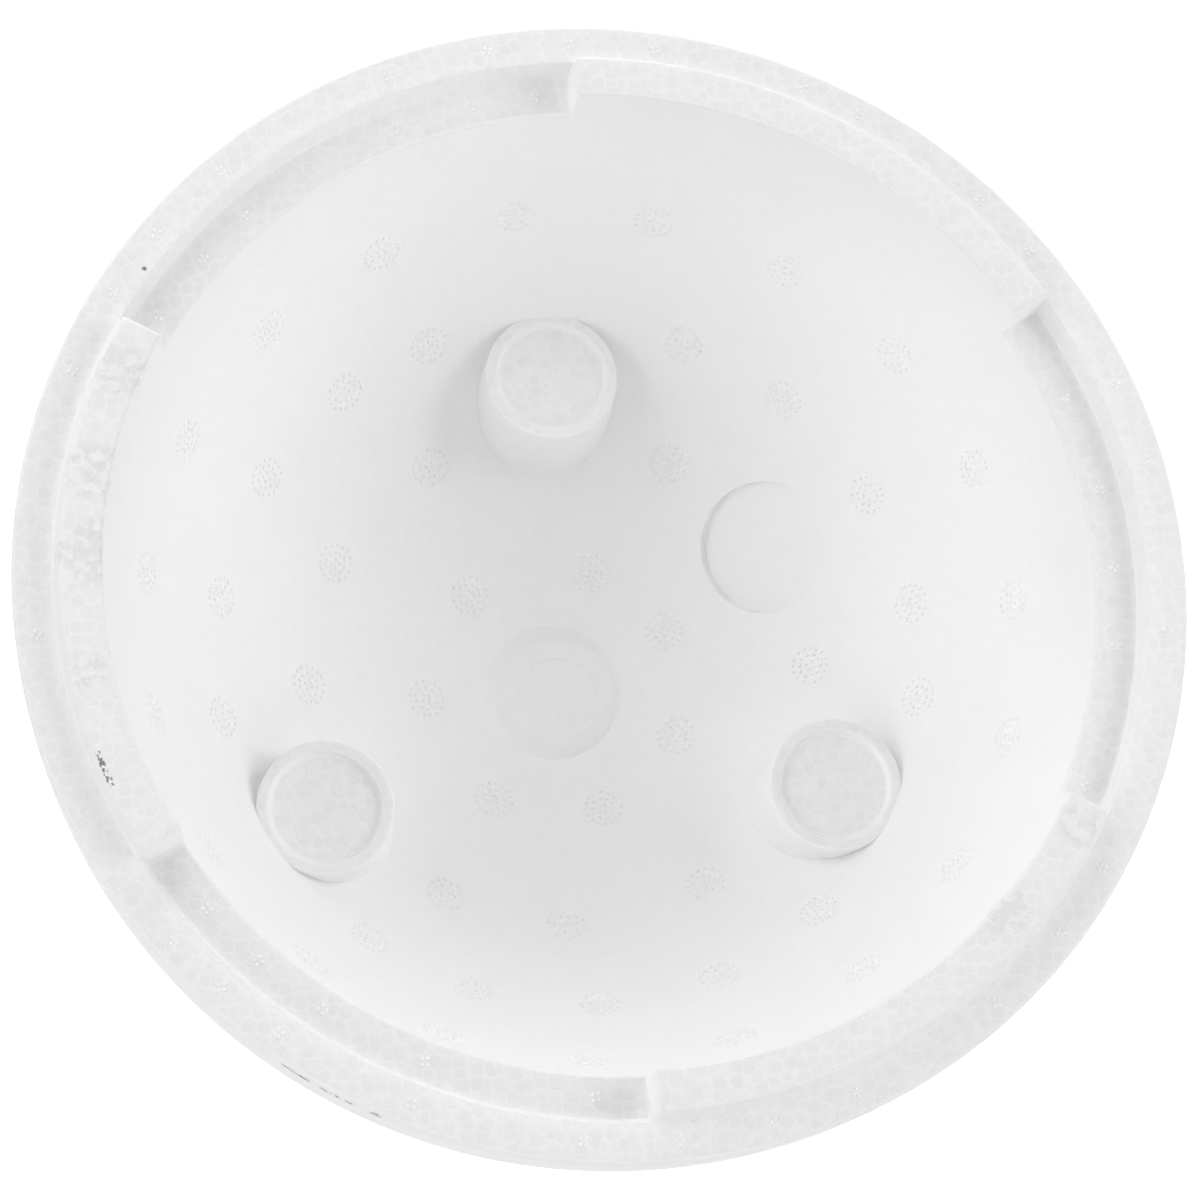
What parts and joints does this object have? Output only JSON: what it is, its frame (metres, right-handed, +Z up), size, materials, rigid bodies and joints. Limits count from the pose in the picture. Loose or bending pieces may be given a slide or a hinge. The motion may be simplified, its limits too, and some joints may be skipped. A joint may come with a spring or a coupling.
{
  "type": "foam half ball",
  "caption": "Hollow half of a foam ball with a half-lapped rim: tongues and recesses in turn, raised dished bosses in its bowl, and a plain dome outside.",
  "frame": {"origin": "centre of the dome's small rest flat, on the surface that the half ball stands on", "axes": "+Z up, out of the open side, along the bowl's axis; one recess of the rim is centred on +X and one tongue on -X"},
  "size_m": [0.2998, 0.2998, 0.1562],
  "materials": {
    "foam": "White expanded polystyrene with a moulded skin of fused beads, matt with a faint sheen, small pits between the beads."
  },
  "bodies": {
    "root": {"half_ball": "foam"}
  },
  "joints": []
}
